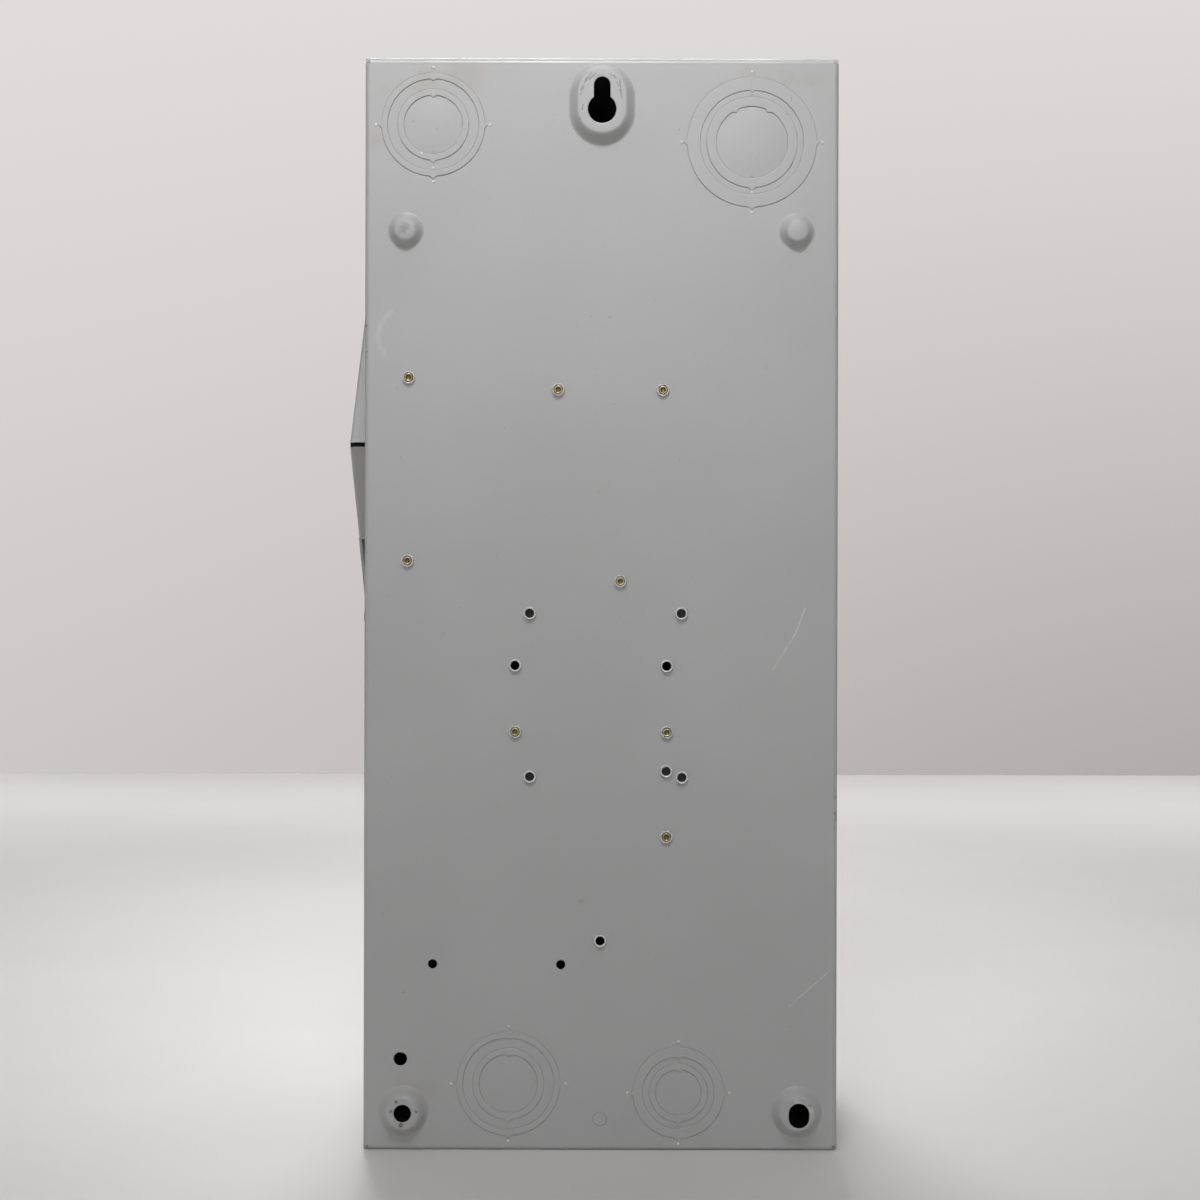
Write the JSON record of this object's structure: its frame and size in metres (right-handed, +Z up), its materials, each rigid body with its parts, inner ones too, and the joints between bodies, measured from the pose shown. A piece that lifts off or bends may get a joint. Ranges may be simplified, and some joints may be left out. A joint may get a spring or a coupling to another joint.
{
  "type": "enclosed fusible safety switch",
  "caption": "Wall-mounted grey steel safety switch: narrow pan with hinged cover, side handle in a sloping housing, knife-blade rotor, fuses and knockouts.",
  "frame": {"origin": "centre of the bottom end wall's outer face, mid-way across the width and the box's depth", "axes": "+X right seen from the front (the handle side), +Y towards the wall the box is fixed to, +Z up along the long side"},
  "size_m": [0.2519, 0.2168, 0.528],
  "materials": {
    "grey_paint": "satin powder coat, light grey",
    "zinc_plate": "clear zinc plate",
    "yellow_zinc": "yellow zinc plate",
    "dark_steel": "dark phosphate",
    "red_grip": "satin moulded",
    "black_moulding": "satin moulded phenolic",
    "grey_moulding": "matt moulded",
    "copper": "bare copper alloy",
    "aluminium": "extruded, tin plated",
    "fuse_tube": "waxed fibre",
    "clear_plastic": "clear polycarbonate"
  },
  "bodies": {
    "enclosure": {"enclosure_box": "grey_paint", "handle_housing": "grey_paint", "hinge_upper_box_leaf": "zinc_plate", "hinge_upper_pin": "zinc_plate", "hinge_lower_box_leaf": "zinc_plate", "hinge_lower_pin": "zinc_plate", "mechanism_frame": "zinc_plate", "drive_spring": "zinc_plate", "shaft_bushing": "black_moulding", "line_base": "black_moulding", "load_base": "black_moulding", "line_shield": "clear_plastic", "line_contact_1": "copper", "line_contact_2": "copper", "line_contact_3": "copper", "line_lug_1": "aluminium", "line_lug_2": "aluminium", "line_lug_3": "aluminium", "arc_chute_1": "grey_moulding", "arc_chute_2": "grey_moulding", "arc_chute_3": "grey_moulding", "upper_fuse_clip_1": "copper", "upper_fuse_clip_2": "copper", "upper_fuse_clip_3": "copper", "lower_fuse_clip_1": "copper", "lower_fuse_clip_2": "copper", "lower_fuse_clip_3": "copper", "load_lug_1": "aluminium", "load_lug_2": "aluminium", "load_lug_3": "aluminium", "fuse_1": "fuse_tube", "fuse_2": "fuse_tube", "fuse_3": "fuse_tube", "line_base_screw_1": "yellow_zinc", "line_base_screw_2": "yellow_zinc", "line_base_screw_3": "yellow_zinc", "load_base_screw_1": "yellow_zinc", "load_base_screw_2": "yellow_zinc", "load_base_screw_3": "yellow_zinc", "frame_screw_1": "yellow_zinc", "frame_screw_2": "yellow_zinc"},
    "door": {"door_pan": "grey_paint", "interlock_hook": "zinc_plate", "hinge_upper_door_leaf": "zinc_plate", "hinge_lower_door_leaf": "zinc_plate"},
    "latch": {"latch_knob": "black_moulding", "latch_cam": "zinc_plate"},
    "handle": {"handle_shaft": "zinc_plate", "handle_lever": "dark_steel", "handle_grip": "red_grip", "handle_crank": "zinc_plate"},
    "rotor": {"rotor_bar": "black_moulding", "moving_blade_1": "copper", "moving_blade_2": "copper", "moving_blade_3": "copper", "rotor_shaft": "zinc_plate", "rotor_crank": "zinc_plate"},
    "link": {"drive_link": "zinc_plate"}
  },
  "joints": [
    {"name": "door_hinge", "type": "hinge", "parent": "enclosure", "child": "door", "pos_m": [-0.1177, -0.0773, 0.265], "axis": [0, 0, -1], "range_deg": [0, 120]},
    {"name": "latch_turn", "type": "hinge", "parent": "door", "child": "latch", "pos_m": [0.092, -0.0887, 0.12], "axis": [0, 1, 0], "range_deg": [0, 90]},
    {"name": "handle_throw", "type": "hinge", "parent": "enclosure", "child": "handle", "pos_m": [0.1, -0.002, 0.345], "axis": [-1, 0, 0], "range_deg": [0, 90]},
    {"name": "rotor_turn", "type": "hinge", "parent": "enclosure", "child": "rotor", "pos_m": [0, 0.033, 0.3], "axis": [-1, 0, 0], "range_deg": [0, 90]},
    {"name": "link_pivot", "type": "hinge", "parent": "handle", "child": "link", "pos_m": [0.0925, 0.00022, 0.36286], "axis": [-1, 0, 0], "range_deg": [-90, 0]}
  ],
  "couplings": [
    {"joint": "rotor_turn", "follows": "handle_throw", "ratio": 1},
    {"joint": "link_pivot", "follows": "handle_throw", "ratio": -1}
  ]
}
